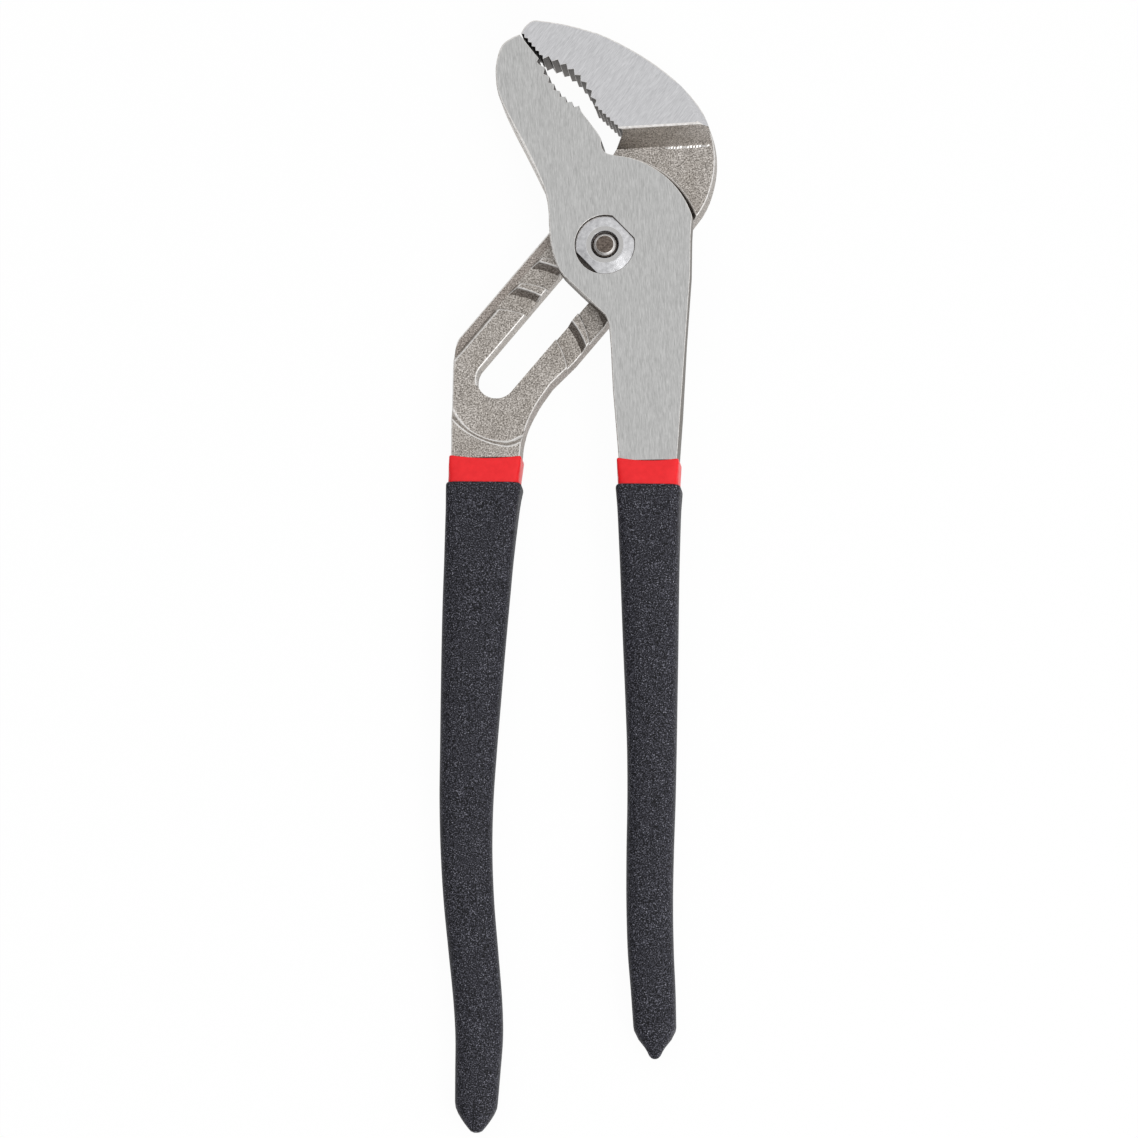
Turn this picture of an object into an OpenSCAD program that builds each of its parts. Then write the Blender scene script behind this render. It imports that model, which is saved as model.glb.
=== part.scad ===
// Water pump pliers: two forged levers crossed at a tongue-and-groove joint, each handle dipped twice.
// Millimetres. The tool lies on its back: X to the right, Y towards the jaws, Z up from the table.
// The origin is on the bolt's axis, at the back of the rear lever.

/* [Overall] */
// length from the top of the upper jaw to the end of the longer handle
overall_len = 300; // [240:1:380]
// thickness of the rear lever where the levers cross
rear_thick = 8; // [6.5:0.1:10]
// thickness of the front lever's plate
plate_thick = 6.35; // [5.5:0.05:8]
// running gap between the two levers
lever_gap = 0.15; // [0.08:0.01:0.3]

/* [Adjusting joint] */
// number of settings along the slot
settings = 6; // [4:1:7]
// distance from one setting to the next
pitch = 9.12; // [8.7:0.01:9.6]
// angle of the slot above the X axis
slot_deg = 49.7; // [47.5:0.1:52]
// width of the slot
slot_w = 10.6; // [9.5:0.1:12]
// depth of the grooves
groove_deep = 1.8; // [1.5:0.05:2]
// radius of each groove's steep wall about its setting
groove_r = 19.1; // [18.6:0.05:19.6]
// width of a groove's flat floor
groove_floor = 4.6; // [4.45:0.05:5.2]
// clearance of the tongue from the steep wall
tongue_gap = 0.12; // [0.05:0.01:0.3]
// width of the tongue's tip
tongue_tip = 0.6; // [0.4:0.05:0.7]

/* [Bolt and nut] */
// clearance of the bolt's shank on each side
run_fit = 0.05; // [0.02:0.01:0.1]
// diameter of the bolt's head
head_d = 15; // [14:0.1:17]
// thickness of the bolt's head
head_t = 1.8; // [1.5:0.1:2.6]
// diameter of the bolt's threaded end
thread_d = 6.4; // [5.5:0.1:7]
// diameter over the nut's round sides
nut_d = 15.9; // [15:0.1:17]
// width across the nut's two flats
nut_af = 13.6; // [12.5:0.1:14.2]
// thickness of the nut
nut_t = 3.4; // [3:0.1:4]
// drop of the nut's conical top from its flat ring to its edge
nut_cone = 0.65; // [0.4:0.05:1.2]

/* [Jaw teeth] */
// depth of the large teeth in the pipe recess
big_tooth = 1.1; // [0.6:0.05:1.4]
// depth of the small teeth on the flats
small_tooth = 0.6; // [0.3:0.05:0.9]

/* [Dipped handles] */
// half thickness of the rear lever's tang at the sleeve
rear_tang = 4.6; // [4:0.1:5.2]
// half thickness of the front lever's tang at the sleeve
front_tang = 4.9; // [4.2:0.1:5.4]
// thickness of the red inner sleeve
inner_coat = 0.45; // [0.3:0.05:0.8]
// thickness of the black outer grip
outer_coat = 0.42; // [0.3:0.05:0.8]
// clearance between one layer and the next
coat_fit = 0.03; // [0.02:0.01:0.08]

/* [Hidden] */
$fn = 96;
// outlines are drawn from the bolt's axis, as seen a little from below and the right; plan() lays them flat
u = overall_len / 1129.1;
function plan(p) = is_list(p[0]) ? [for (e = p) plan(e)] : u * [p[0], 1.0225 * p[1] - 0.018 * p[0]];
top = rear_thick + lever_gap + plate_thick;
under = rear_thick + lever_gap;
axis = [cos(slot_deg), sin(slot_deg)];
side = [-sin(slot_deg), cos(slot_deg)];
groove_out = groove_r + groove_floor;
tongue_deep = groove_deep / 2;
track_deep = head_t + 0.1;
seat = top - nut_t - 0.1;
shank_d = slot_w - 2 * run_fit;
coat = inner_coat + outer_coat + 2 * coat_fit;
// distance of the slotted arm's edges from the slot's middle, and the inner edge of its ledge
arm_left = 57.6 * u;
arm_right = 48.4 * u;
ledge_in = 48.7 * u;
// radius of the plate's round rim
rim_r = 92 * u;
// radius of the step that clears the front lever's boss
boss_r = 56.3 * u;
// the opening swing of the front lever
swing = 45;
ring_n = 24;

function setting(k) = -k * pitch * axis;
// a point given along the slot and to its left
function by_slot(s, t) = s * axis + t * side;
function mix(a, b, t) = a + (b - a) * t;
function bez(a, b, c, t) = a * (1 - t) * (1 - t) + b * 2 * t * (1 - t) + c * t * t;
function cat(a, b, c, d, t) =
  0.5 * (2 * b + (c - a) * t + (2 * a - 5 * b + 4 * c - d) * t * t + (3 * b - a - 3 * c + d) * t * t * t);
// a smooth line through points, without its last point
function smooth(p, n = 4) = [for (i = [0:len(p) - 2]) for (j = [0:n - 1])
  cat(p[max(i - 1, 0)], p[i], p[i + 1], p[min(i + 2, len(p) - 1)], j / n)];
function unit2(v) = v / norm(v);
function left_of(v) = [-v[1], v[0]];
// teeth on a straight edge from a to b, their roots to the left of the way they run
function saw(a, b, n, deep) = [for (i = [0:n - 1]) for (e = [0, 1])
  mix(a, b, (i + e / 2) / n) + e * deep * left_of(unit2(b - a))];
// teeth on a curved edge
function saw_bez(a, b, c, n, deep) = [for (i = [0:n - 1]) for (e = [0, 1])
  let (t = (i + e / 2) / n)
  bez(a, b, c, t) + e * deep * left_of(unit2(mix(b - a, c - b, t)))];

// the front lever's jaw, from its tip round its back, as far as the plate's boss
jaw_back = smooth(plan([[-86, 211.5], [-95, 207.5], [-104, 200], [-109, 185], [-110, 170], [-107, 150],
  [-95.5, 124], [-80, 94], [-65.2, 64], [-60, 51], [-57, 36], [-56, 14], [-53, -6], [-45, -27],
  [-30, -43], [-14, -58], [0, -71]]));
// its toothed side, from the throat to the tip
jaw_teeth = concat(
  smooth(plan([[9, 89.7], [2.5, 91.3], [-2, 95.3], [-3.8, 101], [-4.4, 107], [-10, 115.6], [-24, 134]])),
  saw_bez(plan([-24, 134]), plan([-52, 146]), plan([-66, 181]), 7, -big_tooth),
  plan([[-66, 181], [-68.5, 184], [-66.5, 187]]));
// the upper jaw's back, from its tip to the slotted arm
rear_back = smooth(plan([[-84.7, 212.2], [-80, 219.8], [-73, 225], [-64, 225], [-41.5, 221.5], [-18.5, 215.6],
  [0.7, 209.1], [31, 193.4], [58.2, 175.2], [81.3, 154.8], [97.5, 134.5], [105.8, 114.2], [108.8, 94],
  [107.3, 73.8], [101.3, 52.3], [92.5, 35.5]]));
// its toothed side, from the neck to the tip
rear_teeth = concat(
  saw(plan([17.3, 113]), plan([-10.5, 138.8]), 7, -small_tooth),
  saw_bez(plan([-10.5, 138.8]), plan([-24.7, 178]), plan([-62.5, 186.5]), 8, -big_tooth),
  saw(plan([-62.5, 186.5]), plan([-84.7, 212.2]), 6, -small_tooth));

// the sloped step below the jaw: its run along the tool and its rise
step_run = 16.2 * u;
step_rise = top - rear_thick;
// the edge of the ground face at the jaw's heel
heel = [[94, 121], [80, 152]];

module rear_outline() {
  polygon(concat(
    rear_back,
    [by_slot(74.3 * u, -arm_right), by_slot(-108.5 * u, -arm_right)],
    smooth(plan([[-56.5, -134.8], [-70, -154], [-79, -172], [-84.6, -189], [-86.3, -202]])),
    plan([[-86.7, -206], [-87.3, -212], [-156.4, -212]]),
    smooth(plan([[-155.9, -200], [-155.6, -165], [-154.4, -112], [-151, -88.9]])),
    [by_slot(-163.7 * u, arm_left), by_slot(76.3 * u, arm_left)],
    rear_teeth));
}

module front_outline() {
  polygon(concat(
    jaw_back,
    smooth(plan([[0, -71], [3.6, -80], [6, -104], [8, -146], [14, -218]])),
    plan([[14, -218], [72.1, -218], [85.6, -30], [86.2, 8]]),
    [for (a = [18:4:82]) rim_r * [cos(a), sin(a)]],
    jaw_teeth));
}

// one ring of a handle's section: flat faces near the joint, rounder below
function ring(x, y, z, w, t, e) = [for (i = [0:ring_n - 1])
  let (a = 360 * (i + 0.5) / ring_n, c = cos(a), s = sin(a))
  [x + w * sign(c) * pow(abs(c), 2 / e), y, z + t * sign(s) * pow(abs(s), 2 / e)]];

// the tangs: distance along Y, middle in X and half width, in drawing units
rear_line = [[-206, -121.4, 34.6], [-212, -121.9, 34.5], [-235.3, -123.7, 34.1], [-250, -124.9, 33.3],
  [-300, -128.7, 31.5], [-350, -132, 30.1], [-400, -134.9, 28.4], [-450, -137.4, 26.7], [-500, -139.8, 24.9],
  [-550, -141.8, 23.4], [-600, -141.8, 22.3], [-650, -139.4, 21.7], [-700, -134.9, 21.3], [-750, -130.4, 20.8],
  [-785, -129, 20.2], [-820, -130.4, 19], [-850, -131.8, 17.8]];
front_line = [[-196, 42.9, 30], [-218, 43, 29.4], [-240.8, 43, 28.8], [-260, 43.1, 27.9], [-300, 43.3, 26.7],
  [-350, 43.6, 25.3], [-400, 44, 24], [-450, 44.4, 22.5], [-500, 44.6, 21.2], [-550, 44, 20.5],
  [-600, 42.6, 20.1], [-650, 42, 19.7], [-700, 43, 19.4], [-740, 45.4, 18.7], [-775, 47, 17.8]];
// the necks end just above the sleeves, and each tang starts inside its neck
rear_cut = plan([-121.7, -210])[1];
front_cut = plan([43, -216])[1];
function tuck(i) = i == 0 ? 1.4 : 0;
// the ends of the tangs and of the first dip are round; the last drop of the second dip sets as a nose
// each end: its length in drawing units, then its rings as a share of that length and of the half width
round_end = [17, [for (a = [25:20:85]) [sin(a), cos(a)]]];
rear_nose = [27, [[0.18, 0.965], [0.36, 0.86], [0.53, 0.72], [0.7, 0.56], [0.84, 0.41], [0.95, 0.28], [1, 0.14]]];
front_nose = [29, [[0.12, 0.97], [0.24, 0.88], [0.38, 0.78], [0.5, 0.64], [0.63, 0.49], [0.76, 0.37],
  [0.9, 0.27], [0.97, 0.17], [1, 0.08]]];
// half thickness and middle height of a tang at a drawing height y
function thin(y, t0) = t0 - 0.9 * min(1, max(0, (-206 - y) / 640));
function ease(v) = v * v * (3 - 2 * v);
function rear_z(y) = thin(y, rear_tang) + coat;
function front_z(y) =
  mix(top - front_tang, thin(y, front_tang) + coat, ease(min(1, max(0, (-206 - y) / 420))));
function boxy(y) = 3 + 4 * ease(min(1, max(0, (y + 330) / 110)));

// the rings of a handle layer grown by g, from station number first to the end
function rear_rings(g, first, end = round_end) = concat(
  [for (i = [first:len(rear_line) - 1]) let (p = rear_line[i], c = plan([p[1], p[0]]), e = g - tuck(i))
    ring(c[0], c[1], rear_z(p[0]), p[2] * u + e, thin(p[0], rear_tang) + e, boxy(p[0]))],
  [for (s = end[1]) let (p = rear_line[len(rear_line) - 1], c = plan([p[1], p[0]]))
    ring(c[0], c[1] - (end[0] * u + g) * s[0], rear_z(p[0]), (p[2] * u + g) * s[1],
      (thin(p[0], rear_tang) + g) * s[1], 3)]);
function front_rings(g, first, end = round_end) = concat(
  [for (i = [first:len(front_line) - 1]) let (p = front_line[i], c = plan([p[1], p[0]]), e = g - tuck(i))
    ring(c[0], c[1], front_z(p[0]), p[2] * u + e, thin(p[0], front_tang) + e, boxy(p[0]))],
  [for (s = end[1]) let (p = front_line[len(front_line) - 1], c = plan([p[1], p[0]]))
    ring(c[0], c[1] - (end[0] * u + g) * s[0], front_z(p[0]), (p[2] * u + g) * s[1],
      (thin(p[0], front_tang) + g) * s[1], 3)]);
function flat_list(v) = [for (a = v) each a];
// triangles between successive rings, the first ring being number f
function wall(f, m, flip) = [for (i = [0:m - 2]) for (j = [0:ring_n - 1])
  let (a = (f + i) * ring_n + j, b = (f + i) * ring_n + (j + 1) % ring_n, c = a + ring_n, d = b + ring_n)
  each (flip ? [[a, b, d], [a, d, c]] : [[a, d, b], [a, c, d]])];

module solid_rings(r) {
  m = len(r);
  polyhedron(flat_list(r), concat(
    wall(0, m, false),
    [[for (j = [0:ring_n - 1]) j]],
    [[for (j = [0:ring_n - 1]) m * ring_n - 1 - j]]));
}

// a sock: outer rings and inner rings, joined by a rim at the open end
module sock_rings(outer, inner) {
  m = len(outer);
  n = len(inner);
  k = m * ring_n;
  polyhedron(flat_list(concat(outer, inner)), concat(
    wall(0, m, false),
    wall(m, n, true),
    [[for (j = [0:ring_n - 1]) k - 1 - j]],
    [[for (j = [0:ring_n - 1]) k + (n - 1) * ring_n + j]],
    [for (j = [0:ring_n - 1]) let (i = (j + 1) % ring_n) each [[j, i, k + i], [j, k + i, k + j]]]));
}

// the groove of one setting, cut as a ring about the bolt there: steep on its inner side, sloped outside
module groove(k) {
  translate(setting(k))
    rotate([0, 0, slot_deg - 75])
      rotate_extrude(angle = 165)
        polygon([[groove_r, rear_thick - groove_deep], [groove_out, rear_thick - groove_deep],
          [groove_out + groove_deep + 0.1, rear_thick + 0.1], [groove_r, rear_thick + 0.1]]);
}

// the tongue under the plate's rim, which drops into one groove at a time
module tongue() {
  r = groove_r + tongue_gap;
  z = rear_thick - tongue_deep;
  rotate([0, 0, slot_deg - 32])
    rotate_extrude(angle = 64)
      polygon([[r, under + 0.1], [r, z], [r + tongue_tip, z],
        [r + tongue_tip + under - z + 0.1, under + 0.1]]);
}

// a slot with round ends; its sides stand in by a hair, so that they cross the ends instead of touching them
module slot_shape(w, from, to) {
  half = side * (w / 2 - 0.01);
  for (k = [from, to]) translate(setting(k)) circle(d = w);
  polygon([setting(from) + half, setting(from) - half, setting(to) - half, setting(to) + half]);
}

// the ground to the left of the slotted arm, with a little room
module beside_arm() {
  t = arm_left + 0.5;
  polygon([by_slot(-250 * u, t), by_slot(350 * u, t), by_slot(350 * u, 400 * u), by_slot(-250 * u, 400 * u)]);
}

// a bar along X with the given YZ section
module bar_x(x, long, section) {
  translate([x, 0, 0]) rotate([90, 0, 90]) linear_extrude(long) polygon(section);
}

module rear_lever() {
  last = settings - 1;
  color([0.63, 0.6, 0.57]) {
    difference() {
      union() {
        difference() {
          linear_extrude(top) rear_outline();
          // everything in front of the joint face, up to the sloped step below the jaw
          translate(plan([14, 101])) rotate([0, 0, 2.5])
            bar_x(-220 * u, 340 * u, [[-360 * u, rear_thick], [0, rear_thick],
              [1.5 * step_run, rear_thick + 1.5 * step_rise], [-360 * u, rear_thick + 1.5 * step_rise]]);
          // the heel beside the ground face, left as forged: it falls away to the back's edge
          translate(concat(plan(heel[0]), [top]))
            rotate([0, 0, atan2(plan(heel[1] - heel[0])[1], plan(heel[1] - heel[0])[0])])
              bar_x(-20 * u, 75 * u, [[15 * u, 8 * u], [-30 * u, -16 * u], [-30 * u, 8 * u]]);
        }
        // the handle stands above the joint face, outside the sweep of the front lever's boss
        difference() {
          translate([0, 0, rear_thick / 2])
            linear_extrude(rear_tang * 2 + coat - rear_thick / 2)
              intersection() {
                rear_outline();
                polygon(plan([[-170, -120], [-170, -215], [-60, -215], [-60, -150]]));
              }
          translate(concat(plan([-106.3, -135.3]), [rear_thick - 0.5]))
            cylinder(r1 = boss_r - 0.5, r2 = boss_r + rear_tang, h = rear_tang + 0.5);
        }
      }
      for (k = [0:last]) groove(k);
      // the ledge along the arm's left edge, a little below the groove floors, the lands sloping down to it
      rotate([0, 0, slot_deg])
        bar_x(-230 * u, 301 * u, [[ledge_in - 1.1, rear_thick + 0.1],
          [ledge_in, rear_thick - groove_deep - 0.08], [arm_left + 3, rear_thick - groove_deep - 0.08],
          [arm_left + 3, rear_thick + 0.1]]);
      translate([0, 0, -0.1]) linear_extrude(rear_thick + 0.2) slot_shape(slot_w, 0, last);
      // the wider track in the back, in which the bolt's head slides below the surface
      translate([0, 0, -0.1]) linear_extrude(track_deep + 0.1) slot_shape(head_d + 0.6, 0, last);
      // the back rises towards the handle by the thickness of the dipped layers
      bar_x(-200 * u, 160 * u, [[-161.5 * u, -0.1], [-161.5 * u, 0], [-180 * u, coat], [-260 * u, coat],
        [-260 * u, -0.1]]);
      // the tang takes over from the neck before the sleeve begins
      bar_x(-200 * u, 160 * u, [[rear_cut, -1], [rear_cut, top + 1], [-260 * u, top + 1], [-260 * u, -1]]);
    }
    solid_rings(rear_rings(0, 0));
  }
}

module front_lever() {
  color([0.72, 0.72, 0.71]) {
    difference() {
      union() {
        difference() {
          translate([0, 0, under]) linear_extrude(plate_thick) front_outline();
          // the tang takes over from the arm before the sleeve begins
          bar_x(-20 * u, 140 * u, [[front_cut, 0], [front_cut, top + 1], [-260 * u, top + 1], [-260 * u, 0]]);
        }
        // the jaw is as thick as both levers, clear of the slotted arm over the whole swing
        linear_extrude(under + 0.1)
          intersection() {
            front_outline();
            beside_arm();
            rotate(-swing) beside_arm();
          }
        // the arm grows thicker on its back towards the handle
        intersection() {
          translate([0, 0, 1]) linear_extrude(under) front_outline();
          bar_x(-20 * u, 140 * u, [[-99 * u, under + 0.1], [-173 * u, top - 2 * front_tang],
            [front_cut, top - 2 * front_tang], [front_cut, under + 0.1]]);
        }
        tongue();
      }
      translate([0, 0, rear_thick - 3]) cylinder(d = slot_w, h = plate_thick);
      // the nut's recess, round but for one flat that keeps the nut from turning
      translate([0, 0, seat])
        linear_extrude(nut_t + 1)
          intersection() {
            circle(d = nut_d + 0.3);
            rotate(43.5) translate([nut_af / 2 + 0.06 - 40, -20]) square(40);
          }
    }
    solid_rings(front_rings(0, 0));
  }
}

module pivot_bolt() {
  color([0.5, 0.46, 0.43]) {
    rotate_extrude()
      polygon([[0, 0], [head_d / 2 - 0.5, 0], [head_d / 2, 0.5], [head_d / 2, head_t], [shank_d / 2, head_t],
        [shank_d / 2, seat - 0.05], [thread_d / 2, seat - 0.05], [thread_d / 2, top - 1.2],
        [thread_d / 2 - 0.2, top - 1.1], [thread_d / 2 - 0.2, top - 0.45], [thread_d / 2 - 0.8, top + 0.15],
        [0, top + 0.15]]);
  }
}

module pivot_nut() {
  color([0.76, 0.76, 0.77])
    translate([0, 0, seat])
      intersection() {
        rotate_extrude()
          polygon([[thread_d / 2 + 0.05, 0], [nut_d / 2, 0], [nut_d / 2, nut_t - nut_cone], [5.1, nut_t],
            [thread_d / 2 + 0.53, nut_t], [thread_d / 2 + 0.53, nut_t - 1.2],
            [thread_d / 2 + 0.05, nut_t - 1.5]]);
        rotate([0, 0, 43.5]) translate([-nut_af / 2, -20, -1]) cube([nut_af, 40, nut_t + 2]);
      }
}

module rear_inner_sleeve() {
  color([0.9, 0.16, 0.18])
    sock_rings(rear_rings(coat_fit + inner_coat, 1), rear_rings(coat_fit, 1));
}

module front_inner_sleeve() {
  color([0.9, 0.16, 0.18])
    sock_rings(front_rings(coat_fit + inner_coat, 1), front_rings(coat_fit, 1));
}

module rear_outer_grip() {
  color([0.16, 0.16, 0.17])
    sock_rings(rear_rings(coat, 2, rear_nose), rear_rings(2 * coat_fit + inner_coat, 2));
}

module front_outer_grip() {
  color([0.16, 0.16, 0.17])
    sock_rings(front_rings(coat, 2, front_nose), front_rings(2 * coat_fit + inner_coat, 2));
}

rear_lever();
front_lever();
pivot_bolt();
pivot_nut();
rear_inner_sleeve();
front_inner_sleeve();
rear_outer_grip();
front_outer_grip();
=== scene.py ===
"""Water pump pliers on a pale table: forged and ground levers, a recessed nut, twice-dipped handles."""

import math

import bmesh
import bpy
from mathutils import Matrix, Vector


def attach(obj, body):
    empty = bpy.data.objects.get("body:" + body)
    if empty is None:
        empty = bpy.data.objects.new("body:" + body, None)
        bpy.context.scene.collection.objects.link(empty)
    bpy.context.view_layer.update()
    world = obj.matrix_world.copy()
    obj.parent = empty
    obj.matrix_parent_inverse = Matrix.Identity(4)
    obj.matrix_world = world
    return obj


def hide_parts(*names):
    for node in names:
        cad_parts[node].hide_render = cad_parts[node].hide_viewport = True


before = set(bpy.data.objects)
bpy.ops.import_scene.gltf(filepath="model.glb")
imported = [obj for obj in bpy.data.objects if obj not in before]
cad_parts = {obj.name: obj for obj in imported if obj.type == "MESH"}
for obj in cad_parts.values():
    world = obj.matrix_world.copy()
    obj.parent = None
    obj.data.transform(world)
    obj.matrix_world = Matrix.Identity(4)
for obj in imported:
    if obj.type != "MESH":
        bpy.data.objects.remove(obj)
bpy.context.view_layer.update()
scene = bpy.context.scene

# Rear lever: a drop-forged steel bar with the upper jaw at one end and the left handle at the other.
# It is shot-blasted all over, which leaves a warm grey grain, and only the jaw's front face is ground
# afterwards. Blasting eases its edges, and handling burnishes them, and a painted highlight makes them shine.
# The slot's walls and the steps carry painted light; the ledge, the grooves' backs and the arm's side carry
# painted shade.

# Lengths are in millimetres, from the bolt's axis and the flat back, unless they are multiplied by MM.
MM = 0.001
FRONT_FACE = 14.5
ARM_FACE = 8.0
LEDGE_FACE = 6.12
NECK_TOP = 10.13
ARM_LEFT = -41.4
SLOT_ANGLE = math.radians(49.7)
SLOT_HALF = 5.3
SLOT_LONG = 45.6


def linear(colour):
    """An sRGB hex colour as linear red, green, blue and alpha."""
    channels = [int(colour[i : i + 2], 16) / 255 for i in (1, 3, 5)]
    return [c / 12.92 if c <= 0.04045 else ((c + 0.055) / 1.055) ** 2.4 for c in channels] + [1.0]


def add(tree, kind, inputs=None, **settings):
    """Adds a node. An input is a value, or a pair of a node and the name or number of its output."""
    node = tree.nodes.new(kind)
    for name, value in settings.items():
        setattr(node, name, value)
    for name, value in (inputs or {}).items():
        if isinstance(value, tuple) and isinstance(value[0], bpy.types.Node):
            tree.links.new(value[0].outputs[value[1]], node.inputs[name])
        else:
            node.inputs[name].default_value = value
    return node


def new_material(name):
    """A new material, its empty node tree, and the node that gives places on the piece in metres."""
    material = bpy.data.materials.new(name)
    material.use_nodes = True
    material.node_tree.nodes.clear()
    return material, material.node_tree, add(material.node_tree, "ShaderNodeTexCoord")


def stops(ramp, *pairs):
    """Sets a colour ramp's stops from pairs of a place and a hex colour."""
    while len(ramp.color_ramp.elements) < len(pairs):
        ramp.color_ramp.elements.new(0.5)
    for element, (place, colour) in zip(ramp.color_ramp.elements, pairs):
        element.position = place
        element.color = linear(colour)


def blasted(name, dark, middling, light, shade_fades=None):
    """Shot-blasted forging steel: small round dents that scatter light, seen as a warm grey speckle.
    The dents are about 0.2 mm across, drawn at 0.36 mm so that they show. Painted shade, if any, darkens the
    steel on the handle's side of the first of two distances along the tool, in millimetres, and fades out by
    the second."""
    material, tree, where = new_material(name)
    dents = add(
        tree,
        "ShaderNodeTexNoise",
        {"Vector": (where, "Object"), "Scale": 1 / (0.36 * MM), "Detail": 2.0, "Roughness": 0.6},
    )
    speckle = add(tree, "ShaderNodeValToRGB", {"Fac": (dents, "Fac")})
    stops(speckle, (0.32, dark), (0.5, middling), (0.68, light))
    patches = add(
        tree,
        "ShaderNodeTexNoise",
        {"Vector": (where, "Object"), "Scale": 1 / (8 * MM), "Detail": 3.0, "Roughness": 0.55},
    )
    tint = add(tree, "ShaderNodeValToRGB", {"Fac": (patches, "Fac")})
    stops(tint, (0.3, "#E6E4E1"), (0.7, "#FFFFFF"))
    tone = add(
        tree,
        "ShaderNodeMix",
        {0: 1.0, 6: (speckle, "Color"), 7: (tint, "Color")},
        data_type="RGBA",
        blend_type="MULTIPLY",
    )
    # painted shade along the tool, fading out between the two distances
    if shade_fades:
        place = add(tree, "ShaderNodeSeparateXYZ", {"Vector": (where, "Object")})
        fade = add(
            tree,
            "ShaderNodeMapRange",
            {"Value": (place, "Y"), "From Min": shade_fades[0] * MM, "From Max": shade_fades[1] * MM},
        )
        scale = add(tree, "ShaderNodeValToRGB", {"Fac": (fade, "Result")})
        stops(scale, (0.0, "#93908C"), (1.0, "#FFFFFF"))
        tone = add(
            tree,
            "ShaderNodeMix",
            {0: 1.0, 6: (tone, 2), 7: (scale, "Color")},
            data_type="RGBA",
            blend_type="MULTIPLY",
        )
    pits = add(
        tree,
        "ShaderNodeBump",
        {"Height": (dents, "Fac"), "Strength": 0.4, "Distance": 0.07 * MM},
    )
    metal = add(
        tree,
        "ShaderNodeBsdfPrincipled",
        {"Base Color": (tone, 2), "Metallic": 1.0, "Roughness": 0.5, "Normal": (pits, "Normal")},
    )
    add(tree, "ShaderNodeOutputMaterial", {"Surface": (metal, "BSDF")})
    return material


blasted_steel = blasted("shot_blasted_steel", "#6A6560", "#AEA8A2", "#EAE5E0")
# painted shade: darker blasted steel on the ledge, the grooves' backs and the arm's side, where shade falls
painted_shade_steel = blasted("painted_shade_forging_steel", "#635C57", "#A39B95", "#DAD2CC")
# painted light: lighter blasted steel on the slot's walls, the jaw step and the neck step's upper part, where
# the light falls
painted_light_steel = blasted("painted_light_blasted_steel", "#86817B", "#C6C0BA", "#F0EBE6")


def ground_steel(name, grain_angle, dark, light):
    """Steel ground on a belt: straight scratches 2 mm long and about 0.15 mm apart, drawn 0.2 mm apart so
    that they show. They blur what the steel mirrors and leave faint light and dark lines along the grain."""
    material, tree, where = new_material(name)
    along = add(
        tree,
        "ShaderNodeVectorRotate",
        {"Vector": (where, "Object"), "Angle": -grain_angle},
        rotation_type="Z_AXIS",
    )
    stretched = add(
        tree,
        "ShaderNodeMapping",
        {"Vector": (along, "Vector"), "Scale": (1 / (2 * MM), 1 / (0.2 * MM), 1 / (0.2 * MM))},
    )
    scratches = add(
        tree,
        "ShaderNodeTexNoise",
        {"Vector": (stretched, "Vector"), "Scale": 1.0, "Detail": 3.0, "Roughness": 0.65},
    )
    lines = add(tree, "ShaderNodeValToRGB", {"Fac": (scratches, "Fac")})
    stops(lines, (0.25, dark), (0.75, light))
    worn = add(
        tree,
        "ShaderNodeMapRange",
        {"Value": (scratches, "Fac"), "From Min": 0.2, "From Max": 0.8, "To Min": 0.3, "To Max": 0.42},
    )
    relief = add(
        tree,
        "ShaderNodeBump",
        {"Height": (scratches, "Fac"), "Strength": 0.12, "Distance": 0.03 * MM},
    )
    metal = add(
        tree,
        "ShaderNodeBsdfPrincipled",
        {
            "Base Color": (lines, "Color"),
            "Metallic": 1.0,
            "Roughness": (worn, "Result"),
            "Normal": (relief, "Normal"),
        },
    )
    add(tree, "ShaderNodeOutputMaterial", {"Surface": (metal, "BSDF")})
    return material


# Burnished steel with a painted highlight: forged edges rubbed smooth and painted brighter, which shine as
# thin bright lines.
# It also paints the highlights on chamfers, on the flash ridge and at the foot of the neck step.
burnished_highlight_steel, tree, where = new_material("burnished_edge_highlight_steel")
rubs = add(
    tree,
    "ShaderNodeTexNoise",
    {"Vector": (where, "Object"), "Scale": 1 / (0.8 * MM), "Detail": 3.0, "Roughness": 0.6},
)
bright = add(tree, "ShaderNodeValToRGB", {"Fac": (rubs, "Fac")})
stops(bright, (0.3, "#C9C5C1"), (0.7, "#F2F0EE"))
metal = add(
    tree,
    "ShaderNodeBsdfPrincipled",
    {"Base Color": (bright, "Color"), "Metallic": 1.0, "Roughness": 0.42},
)
add(tree, "ShaderNodeOutputMaterial", {"Surface": (metal, "BSDF")})

# Hardened steel: the teeth are heated and quenched, which leaves them dark grey and dull.
# The same dark steel paints shade on the floor of the nut's recess and on the throat's walls.
hardened_and_shade_steel, tree, where = new_material("hardened_tooth_and_shade_steel")
scale = add(
    tree,
    "ShaderNodeTexNoise",
    {"Vector": (where, "Object"), "Scale": 1 / (0.6 * MM), "Detail": 2.0, "Roughness": 0.6},
)
dull = add(tree, "ShaderNodeValToRGB", {"Fac": (scale, "Fac")})
stops(dull, (0.3, "#4A4643"), (0.7, "#6E6965"))
metal = add(
    tree,
    "ShaderNodeBsdfPrincipled",
    {"Base Color": (dull, "Color"), "Metallic": 1.0, "Roughness": 0.5},
)
add(tree, "ShaderNodeOutputMaterial", {"Surface": (metal, "BSDF")})

# the easing that an edge of full bevel weight would have; every edge takes a share of it
FULL_EASING = 0.7
# an edge between two flats, which are faces above this many square millimetres, is sharp from a smaller angle
# on than an edge on a curve
FLAT_AREA = 5
SHARP_FLATS = math.radians(20)
SHARP_CURVES = math.radians(35)
# inner edges this far down the tool are the fillets of the necks, which stay soft
FILLETS_BELOW = -40


def middle(element):
    """The middle of an edge or a face, in millimetres."""
    return sum((v.co for v in element.verts), Vector()) / len(element.verts) / MM


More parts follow.
